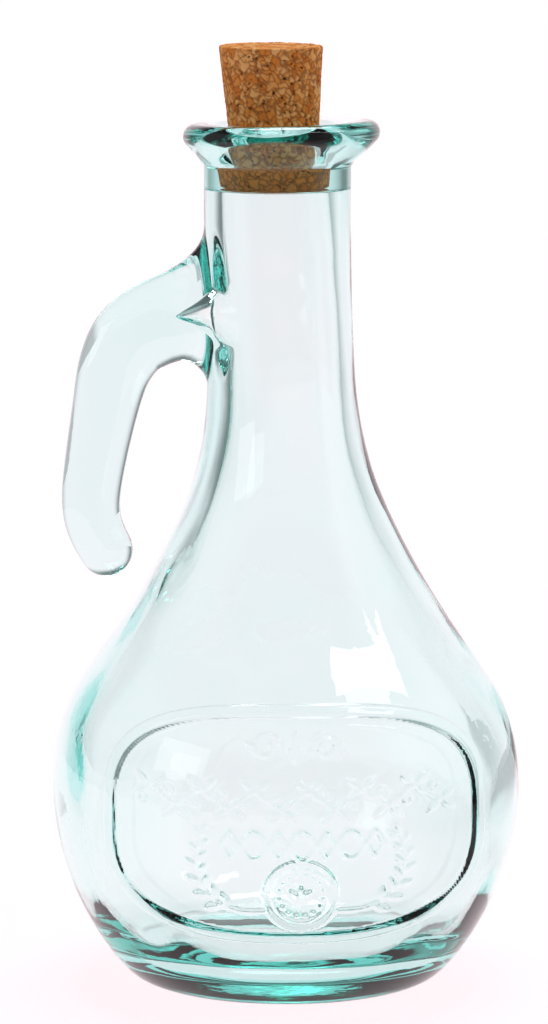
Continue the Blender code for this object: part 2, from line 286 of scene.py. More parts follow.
# Raised work on the front: the label frame, two olive branches, a medallion and bands of ornament
relief = {
    "centre": (1.8 * mm, 44.0 * mm),
    "frameHalfWidth": 41.3 * mm, "frameHalfHeight": 25.4 * mm, "frameRoundness": 3.0,
    "frameBand": 1.40 * mm, "frameRise": 1.0 * mm, "framePower": 3.2,
    "rise": 0.56 * mm,
    "stroke": 0.42 * mm, "flat": 0.12 * mm,
    "fineStep": 0.40 * mm, "fineRow": 0.42 * mm, "edgeStep": 0.24 * mm, "edgeReach": 2.2 * mm,
    "fineLeft": -43.5 * mm, "fineRight": 47.0 * mm,
    "fineTop": 73.5 * mm, "fineBottom": 15.0 * mm,
    "coarseColumn": 3.0,       # degrees
    # The body is a little flatter behind the label: by how much, and where that fades out
    "flattened": 0.55 * mm, "flatAngles": (22.0, 62.0),       # degrees
    "flatBelow": (14.0 * mm, 30.0 * mm), "flatAbove": (58.0 * mm, 78.0 * mm),
}

leafShape = {
    "reach": 0.6, "ends": 1.15,
    "bevel": (-0.10 * mm, 0.30 * mm), "vein": 0.28 * mm, "veinDepth": 0.35,
}

branch = {
    "stem": [(7.6, -3.6), (19.0, -5.6), (26.4, 2.2), (22.0, 13.6)],
    "halfWidth": 0.36 * mm, "flat": 0.08 * mm, "rise": 0.8,
    "leaves": 12, "span": (0.30, 0.97), "turns": (-44.0, 48.0),       # degrees
    "length": (4.6 * mm, 1.6 * mm), "slender": 0.20,
    "tip": (3.0 * mm, 0.62 * mm),
}

medallion = {
    "centre": (3.2 * mm, 28.8 * mm),
    "rings": [(8.05 * mm, 0.62 * mm, 0.22 * mm, 1.0), (6.3 * mm, 0.34 * mm, 0.06 * mm, 0.5)],
    "beads": 16, "beadRing": 4.95 * mm, "beadLength": 0.05 * mm,
    "beadWidth": 0.50 * mm, "beadFlat": 0.08 * mm, "beadRise": 0.8,
    "sprig": [(-1.9 * mm, (-0.75, 1.0), 4.3 * mm, 0.85 * mm), (-1.9 * mm, (0.75, 1.0), 4.3 * mm, 0.85 * mm),
              (-2.2 * mm, (0.0, 1.0), 4.9 * mm, 0.95 * mm)],
}

vine = {
    "left": -33.5 * mm, "right": 37.5 * mm, "level": 50.7 * mm, "swing": 1.9 * mm, "wave": 11.83 * mm,
    "stroke": 1.15, "perMillimetre": 5,
    "leaves": [(0.75, 0.62, 4.4 * mm, 0.85 * mm), (-0.75, 0.62, 4.4 * mm, 0.85 * mm),
               (1.0, -0.75, 3.6 * mm, 0.70 * mm)],
    "berry": (-1.6 * mm, -3.0 * mm), "berryRing": 0.85 * mm, "berryWidth": 0.40 * mm, "berryFlat": 0.08 * mm,
}

scroll = {
    "centre": (2.0 * mm, 62.0 * mm),
    "turns": 1.1, "stroke": 1.15, "offset": 3.2 * mm, "radius": 3.3, "shrink": 2.3,
    "leafAt": (7.6 * mm, -1.8 * mm), "leaf": (4.6 * mm, 0.9 * mm),
    "midLeafAt": (2.0 * mm, 58.4 * mm), "midLeaf": (7.4 * mm, 1.5 * mm),
}

beadRow = {
    "centre": (3.6 * mm, 40.4 * mm), "count": 7, "pitch": 5.4 * mm,
    "diamond": (1.9, 3.1), "oval": (2.5, 3.1), "stroke": 1.1, "flat": 0.10 * mm,
}


def frameLine(r, count=360):
    angle = np.linspace(0.0, 2.0 * math.pi, count, endpoint=False)
    power = 2.0 / r["frameRoundness"]
    c = np.cos(angle)
    s = np.sin(angle)
    x = r["centre"][0] + r["frameHalfWidth"] * np.sign(c) * np.abs(c) ** power
    z = r["centre"][1] + r["frameHalfHeight"] * np.sign(s) * np.abs(s) ** power
    line = np.stack([x, z], 1)
    return np.vstack([line, line[:1]])


def unitCircle(count):
    angle = np.linspace(0.0, 2.0 * math.pi, count)
    return np.stack([np.cos(angle), np.sin(angle)], 1)


class Drawing:
    # Strokes and leaves in the front view, turned into a height at any point
    def __init__(self):
        self.strokes = []
        self.leaves = []

    def stroke(self, points, halfWidth, flat, rise, power=None):
        points = np.asarray(points, float)
        for a, b in zip(points[:-1], points[1:]):
            self.strokes.append((*a, *b, halfWidth, flat, rise, power))

    def leaf(self, root, direction, length, width, rise):
        direction = np.asarray(direction, float)
        direction = direction / np.linalg.norm(direction)
        middle = np.asarray(root, float) + direction * length / 2.0
        self.leaves.append((*middle, *direction, length, width, rise))

    def heights(self, x, z):
        height = np.zeros(len(x))
        for x0, z0, x1, z1, halfWidth, flat, rise, power in self.strokes:
            near = ((x > min(x0, x1) - halfWidth) & (x < max(x0, x1) + halfWidth)
                    & (z > min(z0, z1) - halfWidth) & (z < max(z0, z1) + halfWidth))
            if not near.any():
                continue
            dx = x1 - x0
            dz = z1 - z0
            along = ((x[near] - x0) * dx + (z[near] - z0) * dz) / (dx * dx + dz * dz + 1e-12)
            along = np.clip(along, 0.0, 1.0)
            away = np.hypot(x[near] - x0 - along * dx, z[near] - z0 - along * dz)
            if power:
                shape = np.sqrt(1.0 - np.clip(away / halfWidth, 0.0, 1.0) ** power)
            else:
                shape = 1.0 - ease(away, flat, halfWidth)
            height[near] = np.maximum(height[near], rise * shape)
        for cx, cz, dx, dz, length, width, rise in self.leaves:
            near = np.hypot(x - cx, z - cz) < length * leafShape["reach"]
            if not near.any():
                continue
            u = ((x[near] - cx) * dx + (z[near] - cz) * dz) * 2.0 / length
            v = np.abs((x[near] - cx) * -dz + (z[near] - cz) * dx)
            shape = ease(width * (1.0 - u * u) - v, *leafShape["bevel"])
            shape = shape * (1.0 - leafShape["veinDepth"] * (1.0 - ease(v, 0.0, leafShape["vein"])))
            height[near] = np.maximum(height[near], rise * shape * (np.abs(u) < leafShape["ends"]))
        return height


def drawBranch(d, r, n, centre, side):
    stem = bezier(*((side * x, z) for x, z in n["stem"]), 40) * mm + centre
    d.stroke(stem, n["halfWidth"], n["flat"], r["rise"] * n["rise"])
    way = walked(stem)
    little = 0.02
    for k, share in enumerate(np.linspace(*n["span"], n["leaves"])):
        root = np.array([np.interp(share * way[-1], way, stem[:, i]) for i in (0, 1)])
        ahead = np.array([np.interp((share + little) * way[-1], way, stem[:, i]) for i in (0, 1)]) - root
        turn = math.radians(n["turns"][k % 2])
        direction = (ahead[0] * math.cos(turn) - ahead[1] * math.sin(turn),
                     ahead[0] * math.sin(turn) + ahead[1] * math.cos(turn))
        length = n["length"][0] - n["length"][1] * share
        d.leaf(root, direction, length, length * n["slender"], r["rise"])
    d.leaf(stem[-1], stem[-1] - stem[-4], *n["tip"], r["rise"])


def drawMedallion(d, r, n, centre):
    for radius, halfWidth, flat, share in n["rings"]:
        d.stroke(unitCircle(61) * radius + centre, halfWidth, flat, r["rise"] * share)
    for k in range(n["beads"]):
        a = 2.0 * math.pi * (k + 0.5) / n["beads"]
        bead = np.array([math.cos(a), math.sin(a)]) * n["beadRing"] + centre
        d.stroke([bead, bead + (n["beadLength"], 0.0)],
                 n["beadWidth"], n["beadFlat"], r["rise"] * n["beadRise"])
    for level, direction, length, width in n["sprig"]:
        d.leaf(centre + (0.0, level), direction, length, width, r["rise"])


def drawVine(d, r, n):
    reach = n["right"] - n["left"]
    x = np.linspace(n["left"], n["right"], int(reach / mm * n["perMillimetre"]))
    z = n["level"] + n["swing"] * np.sin((x - n["left"]) / n["wave"] * 2.0 * math.pi)
    d.stroke(np.stack([x, z], 1)[::2], r["stroke"] * n["stroke"], r["flat"], r["rise"])
    for k in range(int(reach / n["wave"] * 2.0)):
        up = 1 if k % 2 == 0 else -1
        top = np.array([n["left"] + n["wave"] * (0.25 + 0.5 * k), n["level"] + n["swing"] * up])
        for sideways, upwards, length, width in n["leaves"]:
            d.leaf(top, (sideways, up * upwards), length, width, r["rise"])
        berry = top + (n["berry"][0], up * n["berry"][1])
        d.stroke(unitCircle(13) * n["berryRing"] + berry, n["berryWidth"], n["berryFlat"], r["rise"])


def drawScroll(d, r, n, side):
    turn = np.linspace(0.0, n["turns"] * 2.0 * math.pi, 40)
    radius = (n["radius"] - n["shrink"] * turn / turn[-1]) * mm
    across = n["offset"] + n["radius"] * mm - radius * np.cos(turn)
    curl = np.stack([side * across, radius * np.sin(turn)], 1)
    centre = np.array(n["centre"])
    d.stroke(curl + centre, r["stroke"] * n["stroke"], r["flat"], r["rise"])
    d.leaf(centre + (side * n["leafAt"][0], n["leafAt"][1]), (side, 0.9), *n["leaf"], r["rise"])


def drawRow(d, r, n):
    wide, high = n["diamond"]
    diamond = np.array([(0.0, high), (wide, 0.0), (0.0, -high), (-wide, 0.0), (0.0, high)]) * mm
    oval = unitCircle(19) * n["oval"] * mm
    for k in range(n["count"]):
        middle = np.array(n["centre"]) + ((k - (n["count"] - 1) / 2.0) * n["pitch"], 0.0)
        shape = oval if k % 2 else diamond
        d.stroke(shape + middle, r["stroke"] * n["stroke"], n["flat"], r["rise"])


def drawRelief(r):
    d = Drawing()
    d.stroke(frameLine(r), r["frameBand"], 0.0, r["frameRise"], r["framePower"])
    centre = np.array(medallion["centre"])
    drawMedallion(d, r, medallion, centre)
    for side in (-1, 1):
        drawBranch(d, r, branch, centre, side)
        drawScroll(d, r, scroll, side)
    d.leaf(scroll["midLeafAt"], (0.0, 1.0), *scroll["midLeaf"], r["rise"])
    drawVine(d, r, vine)
    drawRow(d, r, beadRow)
    return d


def fineColumns(r, b):
    # Angles round the body: even steps across the front as the camera sees it, coarse elsewhere
    x = [r["fineLeft"]]
    while x[-1] < r["fineRight"]:
        away = abs(abs(x[-1] - r["centre"][0]) - r["frameHalfWidth"])
        x.append(x[-1] + (r["edgeStep"] if away < r["edgeReach"] else r["fineStep"]))
    x = np.array(x)
    front = 1.5 * math.pi + np.arcsin(x / b["bodyRadius"])
    step = math.radians(r["coarseColumn"])
    before = np.linspace(0.0, front[0], int(front[0] / step) + 1)[:-1]
    after = np.linspace(front[-1], 2.0 * math.pi, int((2.0 * math.pi - front[-1]) / step) + 2)[1:-1]
    return np.concatenate([before, front, after])


class Skin:
    # Collects rings of points and the faces between them
    def __init__(self):
        self.points = []
        self.faces = []
        self.count = 0

    def ring(self, points):
        start = self.count
        self.points.append(np.asarray(points, float))
        self.count += len(points)
        return np.arange(start, self.count)

    def strip(self, upper, lower, skip=None):
        # Quads between two closed rings of equal count; columns in skip stay open
        total = len(upper)
        for j in range(total):
            if skip is not None and skip[0] <= j < skip[1]:
                continue
            k = (j + 1) % total
            self.faces.append((upper[j], lower[j], lower[k], upper[k]))

    def zip(self, upper, lower, upperAngles, lowerAngles):
        # Triangles between two closed rings of different count
        turn = 2.0 * math.pi
        a = np.append(upperAngles, upperAngles[0] + turn)
        b = np.append(lowerAngles, lowerAngles[0] + turn)
        i = 0
        j = 0
        while i < len(upper) or j < len(lower):
            nextI = upper[(i + 1) % len(upper)]
            nextJ = lower[(j + 1) % len(lower)]
            here = upper[i % len(upper)]
            there = lower[j % len(lower)]
            if j == len(lower) or (i < len(upper) and a[i + 1] <= b[j + 1]):
                self.faces.append((here, there, nextI))
                i += 1
            else:
                self.faces.append((here, there, nextJ))
                j += 1

    def fan(self, ring, pole, outward):
        total = len(ring)
        for j in range(total):
            k = (j + 1) % total
            self.faces.append((ring[j], ring[k], pole) if outward else (ring[k], ring[j], pole))

    def mesh(self, name):
        points = np.vstack(self.points)
        used = np.zeros(len(points), bool)
        used[np.unique(np.concatenate([np.array(f) for f in self.faces]))] = True
        places = np.cumsum(used) - 1
        mesh = bpy.data.meshes.new(name)
        mesh.from_pydata(points[used].tolist(), [], [tuple(places[list(f)].tolist()) for f in self.faces])
        mesh.shade_smooth()
        return mesh


# Waves that the mould and the hot glass leave in the walls
wallWaves = {
    "around": 50.0 * mm,       # the radius for which the lengths hold
    "inner": {"seed": 3, "count": 9, "longest": 46.0 * mm, "shortest": 17.0 * mm},
    "outer": {"seed": 8, "count": 7, "longest": 60.0 * mm, "shortest": 26.0 * mm},
    "innerDepth": 0.05, "innerMore": 0.20, "outerDepth": 0.05,      # millimetres
    "moreRadii": (12.0 * mm, 40.0 * mm),
    "innerCalm": (181.0 * mm, 168.0 * mm), "innerCalmRadii": (6.0 * mm, 20.0 * mm),
    "outerCalm": (184.0 * mm, 172.0 * mm), "outerCalmRadii": (30.0 * mm, 38.0 * mm),
}


def waves(n, around):
    dice = random.Random(n["seed"])
    made = []
    for _ in range(n["count"]):
        length = dice.uniform(n["shortest"], n["longest"])
        heading = dice.uniform(0.0, 2.0 * math.pi)
        made.append((round(math.cos(heading) * 2.0 * math.pi * around / length),
                     math.sin(heading) * 2.0 * math.pi / length, dice.uniform(0.0, 2.0 * math.pi), length))
    return made


def waviness(made, angle, height, amount):
    total = np.zeros_like(angle)
    weight = 0.0
    for turns, rate, phase, length in made:
        total += length * np.sin(turns * angle + rate * height + phase)
        weight += length
    return amount * total / weight * math.sqrt(len(made))


# Hook handle: centre line in the XZ plane with the half height and half depth of its section
handle = {
    "path": [(-17.0, 153.4, 12.0, 7.6), (-20.5, 153.2, 11.2, 7.3), (-24.5, 152.4, 10.3, 7.0),
             (-29.5, 150.8, 9.8, 6.9), (-35.6, 147.3, 9.5, 6.7), (-39.4, 140.2, 8.4, 6.4),
             (-41.2, 131.8, 7.6, 6.2), (-43.0, 122.8, 7.15, 6.1), (-44.5, 114.0, 6.85, 6.0),
             (-45.0, 107.5, 6.65, 5.9), (-43.6, 102.0, 6.35, 5.8), (-41.3, 98.3, 6.1, 5.7)],
    "windowAngle": 31.0,          # degrees each side of the handle
    "windowCentre": 154.6 * mm, "windowHalf": 18.2 * mm,
    "filletRings": 14, "filletReach": 1.05,
    "startShare": 0.165, "squareness": 2.8, "leanShare": 0.8,
    "samples": 400, "smoothing": 31,
    "rings": 78, "capRings": 12,
    "relax": 160, "relaxMargin": 8,
}

dent = {
    "tip": (-26.6 * mm, 151.8 * mm), "depth": 12.8 * mm,
    "up": 7.2 * mm, "down": 9.0 * mm, "side": 10.6 * mm,
    "upPower": 1.05, "downPower": 2.6, "sidePower": 2.0, "round": 0.05,
    "span": 1.3, "leftOf": -5.0 * mm,
}


def relaxedWindow(b, h, rows, columns):
    # Row heights and column angles bent round an oval window, which is left open for the handle
    angle, height = np.meshgrid(columns, rows)
    half = math.radians(h["windowAngle"])
    u = (columns - math.pi) / half
    v = (rows - h["windowCentre"]) / h["windowHalf"]
    j0 = int(np.argmin(np.abs(u + 1.0)))
    j1 = int(np.argmin(np.abs(u - 1.0)))
    i0 = int(np.argmin(np.abs(v - 1.0)))
    i1 = int(np.argmin(np.abs(v + 1.0)))
    moveA = np.zeros_like(angle)
    moveH = np.zeros_like(height)
    fixed = np.zeros(angle.shape, bool)
    for i in range(i0, i1 + 1):
        for j in range(j0, j1 + 1):
            if i in (i0, i1) or j in (j0, j1):
                a = 2.0 * (j - j0) / (j1 - j0) - 1.0
                c = 1.0 - 2.0 * (i - i0) / (i1 - i0)
                moveA[i, j] = math.pi + half * a * math.sqrt(1.0 - c * c / 2.0) - angle[i, j]
                rise = h["windowHalf"] * c * math.sqrt(1.0 - a * a / 2.0)
                moveH[i, j] = h["windowCentre"] + rise - height[i, j]
            fixed[i, j] = True
    m = h["relaxMargin"]
    free = ~fixed[i0 - m:i1 + m + 1, j0 - m:j1 + m + 1]
    free[0] = free[-1] = False
    free[:, 0] = free[:, -1] = False
    for field in (moveA, moveH):
        part = field[i0 - m:i1 + m + 1, j0 - m:j1 + m + 1]
        for _ in range(h["relax"]):
            mean = sum(np.roll(part, step, axis) for axis in (0, 1) for step in (1, -1)) / 4.0
            part[free] = mean[free]
    return angle + moveA, height + moveH, (i0, i1, j0, j1)


def growHandle(skin, b, h, loop):
    # Rings of points from the window in the neck, through a fillet, along the hook to its round end
    start = np.vstack(skin.points)[loop]
    path = np.array(h["path"]) * mm
    knots = walked(path[:, :2])
    fine = np.linspace(0.0, knots[-1], h["samples"])
    line = np.stack([smoothed(np.interp(fine, knots, path[:, k]), h["smoothing"]) for k in range(4)], 1)
    way = walked(line[:, :2])
    first = h["startShare"] * way[-1]
    marks = np.linspace(first, way[-1], h["rings"])
    section = np.stack([np.interp(marks, way, line[:, k]) for k in range(4)], 1)
    tangent = np.gradient(section[:, :2], axis=0)
    tangent /= np.linalg.norm(tangent, axis=1)[:, None]
    side = start[:, 1] / np.abs(start[:, 1]).max()
    up = (start[:, 2] - h["windowCentre"]) / h["windowHalf"]
    length = np.hypot(side, up)
    side = side / length
    up = up / length
    across = np.array([0.0, 1.0, 0.0])

    def ringAt(k, shrink=1.0, ahead=0.0):
        x, z, half, depth = section[k]
        tx, tz = tangent[k]
        normal = np.array([tz, 0.0, -tx])
        centre = np.array([x + tx * ahead, 0.0, z + tz * ahead])
        power = 2.0 / h["squareness"]
        high = np.sign(up) * np.abs(up) ** power
        wide = np.sign(side) * np.abs(side) ** power
        return (centre + normal[None] * (half * shrink * high)[:, None]
                + across[None] * (depth * shrink * wide)[:, None])

    target = ringAt(0)
    inward = np.stack([np.zeros(len(up)), -side, -up], 1)
    radial = np.stack([start[:, 0] + b["neckLean"] * h["leanShare"], start[:, 1], np.zeros(len(up))], 1)
    radial /= np.linalg.norm(radial, axis=1)[:, None]
    inward -= radial * np.sum(inward * radial, axis=1)[:, None]
    inward /= np.linalg.norm(inward, axis=1)[:, None]
    outward = np.array([tangent[0, 0], 0.0, tangent[0, 1]])
    reach = np.linalg.norm(target - start, axis=1)[:, None] * h["filletReach"]
    rings = [loop]
    for k in range(1, h["filletRings"]):
        t = k / h["filletRings"]
        h00 = 2 * t ** 3 - 3 * t ** 2 + 1
        h10 = t ** 3 - 2 * t ** 2 + t
        h01 = 3 * t ** 2 - 2 * t ** 3
        h11 = t ** 3 - t ** 2
        rings.append(skin.ring(
            h00 * start + h10 * reach * inward + h01 * target + h11 * reach * outward[None]))
    for k in range(h["rings"]):
        rings.append(skin.ring(ringAt(k)))
    last = h["rings"] - 1
    end = section[last]
    for k in range(1, h["capRings"]):
        a = 0.5 * math.pi * k / h["capRings"]
        rings.append(skin.ring(ringAt(last, math.cos(a), end[2] * math.sin(a))))
    tip = skin.ring([[end[0] + tangent[last, 0] * end[2], 0.0, end[1] + tangent[last, 1] * end[2]]])
    for a, c in zip(rings[:-1], rings[1:]):
        for m in range(len(a)):
            n = (m + 1) % len(a)
            skin.faces.append((a[m], a[n], c[n], c[m]))
    skin.fan(rings[-1], tip[0], True)


def rowStep(radius, height, rows, middle, low):
    for level, step in rows:
        if height > level:
            return step
    return middle[1] if radius < middle[0] else low


def outerStep(radius, height, b, r):
    if r["fineBottom"] < height <= r["fineTop"]:
        away = abs(abs(height - r["centre"][1]) - r["frameHalfHeight"])
        return r["edgeStep"] if away < r["edgeReach"] else r["fineRow"]
    return rowStep(radius, height, b["outerRows"], b["outerMiddle"], b["outerHeel"])


def turnedRing(radius, height, angles):
    return np.stack([radius * np.cos(angles), radius * np.sin(angles), height * np.ones_like(angles)], 1)


def dented(points, d, height):
    # The hollow of the neck runs out into the handle's root in a point
    tipX, tipZ = d["tip"]
    if abs(height - tipZ) > d["span"] * max(d["up"], d["down"]):
        return points
    left = points[:, 0] < d["leftOf"]
    v = points[:, 2] - tipZ
    v = np.where(v > 0.0, v / d["up"], v / d["down"])
    rho = np.sqrt(v * v + (points[:, 1] / d["side"]) ** 2 + d["round"] ** 2)
    turn = v / rho
    power = d["sidePower"] + np.where(turn > 0.0, (d["upPower"] - d["sidePower"]) * turn,
                                      (d["sidePower"] - d["downPower"]) * turn)
    rise = np.clip(1.0 - rho, 0.0, 1.0) ** power
    points[:, 0] -= np.where(left, d["depth"] * rise, 0.0)
    return points


def embossed(points, angles, height, slope, drawing, r):
    # Moves a row of the body's front in and out, square to the wall
    heights = drawing.heights(points[:, 0], points[:, 2])
    front = points[:, 1] < 0.0
    away = np.abs(np.mod(angles - 1.5 * math.pi + math.pi, 2.0 * math.pi) - math.pi)
    sink = r["flattened"] * (1.0 - ease(away, *np.radians(r["flatAngles"])))
    sink = sink * ease(height, *r["flatBelow"]) * (1.0 - ease(height, *r["flatAbove"]))
    move = np.where(front, heights - sink, 0.0)
    outR, outZ = -slope[1], slope[0]
    points[:, 0] += move * outR * np.cos(angles)
    points[:, 1] += move * outR * np.sin(angles)
    points[:, 2] += move * outZ
    return points


def growHollow(skin, b, d, w, columns):
    # From the middle of the floor up through the mouth to the top of the lip
    inner = spaced(innerOutline(b), lambda radius, height: rowStep(
        radius, height, b["innerRows"], b["innerMiddle"], b["innerHeel"]))
    made = waves(w["inner"], w["around"])
    pole = skin.ring([[0.0, 0.0, inner[0, 1]]])
    previous = None
    for radius, height in inner[1:]:
        calm = ease(height, *w["innerCalm"]) * ease(radius, *w["innerCalmRadii"])
        amount = (w["innerDepth"] + w["innerMore"] * ease(radius, *w["moreRadii"])) * mm * calm
        radii = radius + waviness(made, columns, height * np.ones_like(columns), amount)
        points = leaned(turnedRing(radii, height, columns), b, True)
        ring = skin.ring(dented(points, d, height))
        if previous is None:
            skin.fan(ring, pole[0], True)
        else:
            skin.strip(previous, ring)
        previous = ring
    print("bottle: hollow made,", skin.count, "points")
    return previous


def growOutside(skin, b, r, h, w, columns, previous):
    # Down from the top of the lip to the base; returns the points round the handle's window
    outer = spaced(outerOutline(b), lambda radius, height: outerStep(radius, height, b, r))
    made = waves(w["outer"], w["around"])
    outline = outer[1:]
    slope = np.gradient(outer, axis=0)[1:]
    slope /= np.linalg.norm(slope, axis=1)[:, None]
    low, high = b["neckRows"]
    neckRows = np.where((outline[:, 1] < high) & (outline[:, 1] > low))[0]
    bentAngle, bentHeight, window = relaxedWindow(b, h, outline[neckRows, 1], columns)
    line = outerOutline(b)
    wall = line[(line[:, 1] > b["neckWallFrom"]) & (line[:, 1] < b["ledgeBottom"] + 1e-6)][::-1]
    fine = fineColumns(r, b)
    drawing = drawRelief(r)
    grid = []
    angles = columns
    for k, (radius, height) in enumerate(outline[:-1]):
        isFine = r["fineBottom"] < height < r["fineTop"]
        newAngles = fine if isFine else columns
        if k in neckRows:
            row = int(k - neckRows[0])
            radii = np.interp(bentHeight[row], wall[:, 1], wall[:, 0])
            points = leaned(turnedRing(radii, bentHeight[row], bentAngle[row]), b)
        else:
            calm = ease(height, *w["outerCalm"]) * ease(radius, *w["outerCalmRadii"])
            heights = height * np.ones_like(newAngles)
            radii = radius + waviness(made, newAngles, heights, w["outerDepth"] * mm * calm)
            points = turnedRing(radii, heights, newAngles)
            if isFine:
                points = embossed(points, newAngles, height, slope[k], drawing, r)
            points = leaned(points, b)
        ring = skin.ring(points)
        grid.append(ring)
        if len(newAngles) != len(angles):
            skin.zip(previous, ring, angles, newAngles)
        else:
            inWindow = neckRows[0] + window[0] < k <= neckRows[0] + window[1]
            skin.strip(previous, ring, window[2:] if inWindow else None)
        previous = ring
        angles = newAngles
    pole = skin.ring([[0.0, 0.0, outline[-1, 1]]])
    skin.fan(previous[::-1], pole[0], True)
    print("bottle: outside made,", skin.count, "points")

    i0, i1, j0, j1 = window
    top = neckRows[0] + i0
    bottom = neckRows[0] + i1
    loop = [grid[top][j] for j in range(j1, j0, -1)]
    loop += [grid[i][j0] for i in range(top, bottom)]
    loop += [grid[bottom][j] for j in range(j0, j1)]
    loop += [grid[i][j1] for i in range(bottom, top, -1)]
    return np.array(loop)


def makeBottle(b, r, h, d, w):
    skin = Skin()
    columns = np.linspace(0.0, 2.0 * math.pi, b["columns"], endpoint=False)
    lip = growHollow(skin, b, d, w, columns)
    loop = growOutside(skin, b, r, h, w, columns, lip)
    growHandle(skin, b, h, loop)
    mesh = skin.mesh("bottleGlass")
    obj = bpy.data.objects.new("bottleGlass", mesh)
    bpy.context.collection.objects.link(obj)
    print("bottle: handle joined,", len(mesh.vertices), "points,", len(mesh.polygons), "faces")
    return obj


glassLook = {
    "ior": 1.50,
    "tint": (25.0, 4.8, 6.4),     # light lost for each metre of red, green and blue
    "plain": (1.0, 1.0, 1.0, 1.0), "greenish": (0.985, 1.0, 0.998, 1.0), "greenishFrom": (0.35, 0.70),
    "rippleScale": 90.0, "skinScale": 620.0, "skinShare": 0.12,
    "bump": 0.12, "bumpDepth": 0.4 * mm,
    "dull": 0.02, "dullFrom": (0.55, 0.85),
}


def glassMaterial(g):
    material, wire = newMaterial("recycledGlass")
    place = wire.node("ShaderNodeTexCoord", output="Object")
    ripple = wire.node("ShaderNodeTexNoise", {}, {
        "Vector": place, "Scale": g["rippleScale"], "Detail": 2.0, "Roughness": 0.5})
    skinNoise = wire.node("ShaderNodeTexNoise", {}, {
        "Vector": place, "Scale": g["skinScale"], "Detail": 1.0, "Roughness": 0.4})
    bump = wire.node("ShaderNodeBump", {}, {
        "Strength": g["bump"], "Distance": g["bumpDepth"], "Height": ripple + skinNoise * g["skinShare"]})
    shader = wire.node("ShaderNodeBsdfPrincipled", {}, {
        "Base Color": ripple.limited(*g["greenishFrom"]).mixed(g["plain"], g["greenish"]),
        "Roughness": skinNoise.limited(*g["dullFrom"], 0.0, g["dull"]),
        "IOR": g["ior"], "Transmission Weight": 1.0, "Normal": bump})
    density = max(g["tint"])
    volume = wire.node("ShaderNodeVolumeAbsorption", {}, {
        "Color": (*(1.0 - t / density for t in g["tint"]), 1.0), "Density": density})
    wire.node("ShaderNodeOutputMaterial", {}, {"Surface": shader, "Volume": volume})
    return material


glass = makeBottle(bottle, relief, handle, dent, wallWaves)
glass.data.materials.append(glassMaterial(glassLook))
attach(glass, "root")
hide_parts("bottle")
print("bottle finished")


# The cork: pressed granules, a shade wider than the bore where the glass squeezes it
cork = {
    "bottom": 181.5 * mm, "top": 213.5 * mm,
    "radiusBottom": 8.25 * mm, "gripTop": 188.3 * mm,
    "swell": [(187.1 * mm, 8.66 * mm), (188.5 * mm, 9.0 * mm),
              (190.2 * mm, 9.5 * mm), (193.8 * mm, 10.25 * mm)],
    "radiusTop": 11.8 * mm, "topTilt": 1.9, "dipFrom": 193.8 * mm,         # degrees
    "edge": 0.5 * mm,
    "columns": 300, "rowStep": 0.24 * mm, "middleRadius": 3.0 * mm, "middleStep": 0.5 * mm,
    "seed": 11,
    "block": 12.5 * mm,        # half the width of the block of granules that it is cut from
    "grain": 1.75 * mm, "packing": 1.344, "cell": 1.25,
    "warp": 0.35 * mm, "warpRates": (2600.0, 2900.0, 2400.0), "warpStarts": (1.0, 2.0, 4.0),
    "gapWidth": (0.05 * mm, 0.34 * mm), "gapDepth": 0.16 * mm,
    "pitShare": 1.3, "pitWarp": 1.7, "pitSizes": (0.15 * mm, 0.55 * mm), "pitFloor": 0.45,
    "pitDepth": 0.55 * mm,
    "sunkFrom": 0.2, "sunkDepth": 0.07 * mm,
    "squeezed": 0.12, "squeezedMargin": 0.5 * mm,      # how much of the relief is left in the bore
}


def nearestGrains(points, seeds, cell):
    # Distances to the nearest and second nearest seed, and which seed is nearest
    keys = {}
    for k, s in enumerate(seeds):
        keys.setdefault(tuple(np.floor(s / cell).astype(int)), []).append(k)
    first = np.full(len(points), 1.0)
    second = np.full(len(points), 1.0)
    owner = np.zeros(len(points), int)
    home = np.floor(points / cell).astype(int)
    order = np.lexsort(home.T)
    cuts = np.where(np.any(np.diff(home[order], axis=0) != 0, axis=1))[0] + 1
    for group in np.split(order, cuts):
        base = home[group[0]]
        near = [k for dx in (-1, 0, 1) for dy in (-1, 0, 1) for dz in (-1, 0, 1)
                for k in keys.get((base[0] + dx, base[1] + dy, base[2] + dz), [])]
        if len(near) < 2:
            continue
        away = np.linalg.norm(points[group][:, None] - seeds[near][None], axis=2)
        rank = np.argsort(away, axis=1)
        rows = np.arange(len(group))
        first[group] = away[rows, rank[:, 0]]
        second[group] = away[rows, rank[:, 1]]
        owner[group] = np.array(near)[rank[:, 0]]
    return first, second, owner


def corkOutline(c):
    edge = c["edge"]
    return joined([
        [(0.0, c["top"]), (c["radiusTop"] - edge, c["top"])],
        arc((c["radiusTop"] - edge, c["top"] - edge), edge, 90.0, 0.0, 8),
        [(radius, level) for level, radius in reversed(c["swell"])],
        [(c["radiusBottom"], c["bottom"] + edge)],
        arc((c["radiusBottom"] - edge, c["bottom"] + edge), edge, 0.0, -90.0, 8),
        [(0.0, c["bottom"])],
    ])


